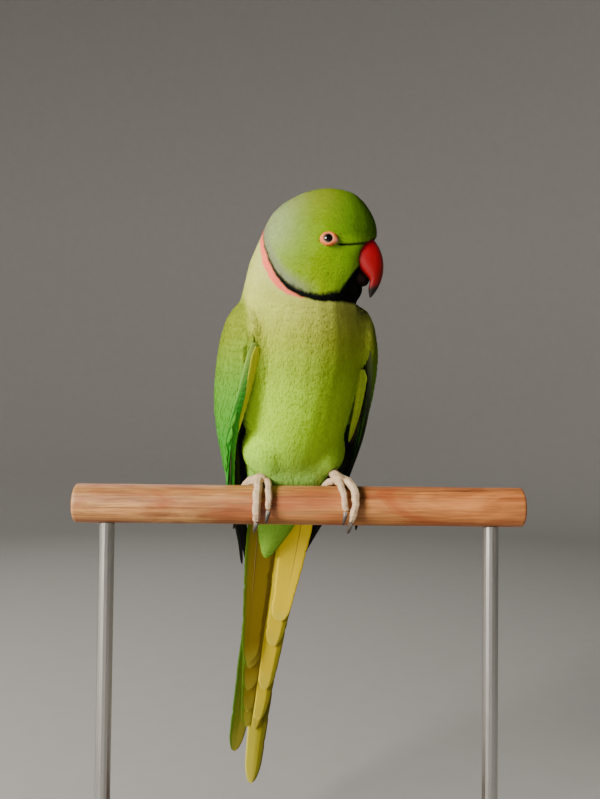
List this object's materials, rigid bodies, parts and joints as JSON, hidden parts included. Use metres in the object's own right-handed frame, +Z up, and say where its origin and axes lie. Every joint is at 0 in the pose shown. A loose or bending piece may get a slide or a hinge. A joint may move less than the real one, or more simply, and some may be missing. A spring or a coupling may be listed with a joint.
{
  "type": "parakeet model on a perch stand",
  "caption": "Life-size long-tailed parakeet standing upright with its head turned, gripping a short round perch held over a flat base by two upright rods.",
  "frame": {"origin": "centre of the base's underside, on the surface that the stand rests on", "axes": "+Z up, +X along the perch towards the bird's left, -Y the way the breast faces, with the tail hanging towards +Y"},
  "size_m": [0.228, 0.196, 0.3858],
  "materials": {
    "plumage": "soft overlapping feathers, matt",
    "wing_green": "feather vanes, faint sheen",
    "flight_dark": "dark feather vanes, faint sheen",
    "tail_yellow": "long feather vanes, faint sheen",
    "bill_red": "smooth horn, coral red",
    "bill_dark": "smooth horn, near black",
    "eye": "wet and glossy",
    "foot_skin": "pale, dry and scaly",
    "claw": "smooth horn, dark grey",
    "perch_wood": "smooth bare wood with open grain",
    "stand_wood": "dark satin varnish",
    "stand_metal": "brushed"
  },
  "bodies": {
    "root": {"head": "plumage", "neck": "plumage", "trunk": "plumage", "thigh_l": "plumage", "thigh_r": "plumage", "wing_l_coverts": "wing_green", "wing_l_secondaries": "wing_green", "wing_l_primaries": "flight_dark", "wing_r_coverts": "wing_green", "wing_r_secondaries": "wing_green", "wing_r_primaries": "flight_dark", "tail_l_1": "tail_yellow", "tail_l_2": "tail_yellow", "tail_l_3": "tail_yellow", "tail_l_4": "tail_yellow", "tail_l_5": "tail_yellow", "tail_l_6": "tail_yellow", "tail_r_1": "tail_yellow", "tail_r_2": "tail_yellow", "tail_r_3": "tail_yellow", "tail_r_4": "tail_yellow", "tail_r_5": "tail_yellow", "tail_r_6": "tail_yellow", "upper_bill": "bill_red", "lower_bill": "bill_dark", "eye_l": "eye", "eye_r": "eye", "foot_l": "foot_skin", "claw_l_front_long": "claw", "claw_l_front_short": "claw", "claw_l_back_long": "claw", "claw_l_back_short": "claw", "foot_r": "foot_skin", "claw_r_front_long": "claw", "claw_r_front_short": "claw", "claw_r_back_long": "claw", "claw_r_back_short": "claw", "perch": "perch_wood", "stand_base": "stand_wood", "stand_rod_l": "stand_metal", "stand_rod_r": "stand_metal"}
  },
  "joints": []
}
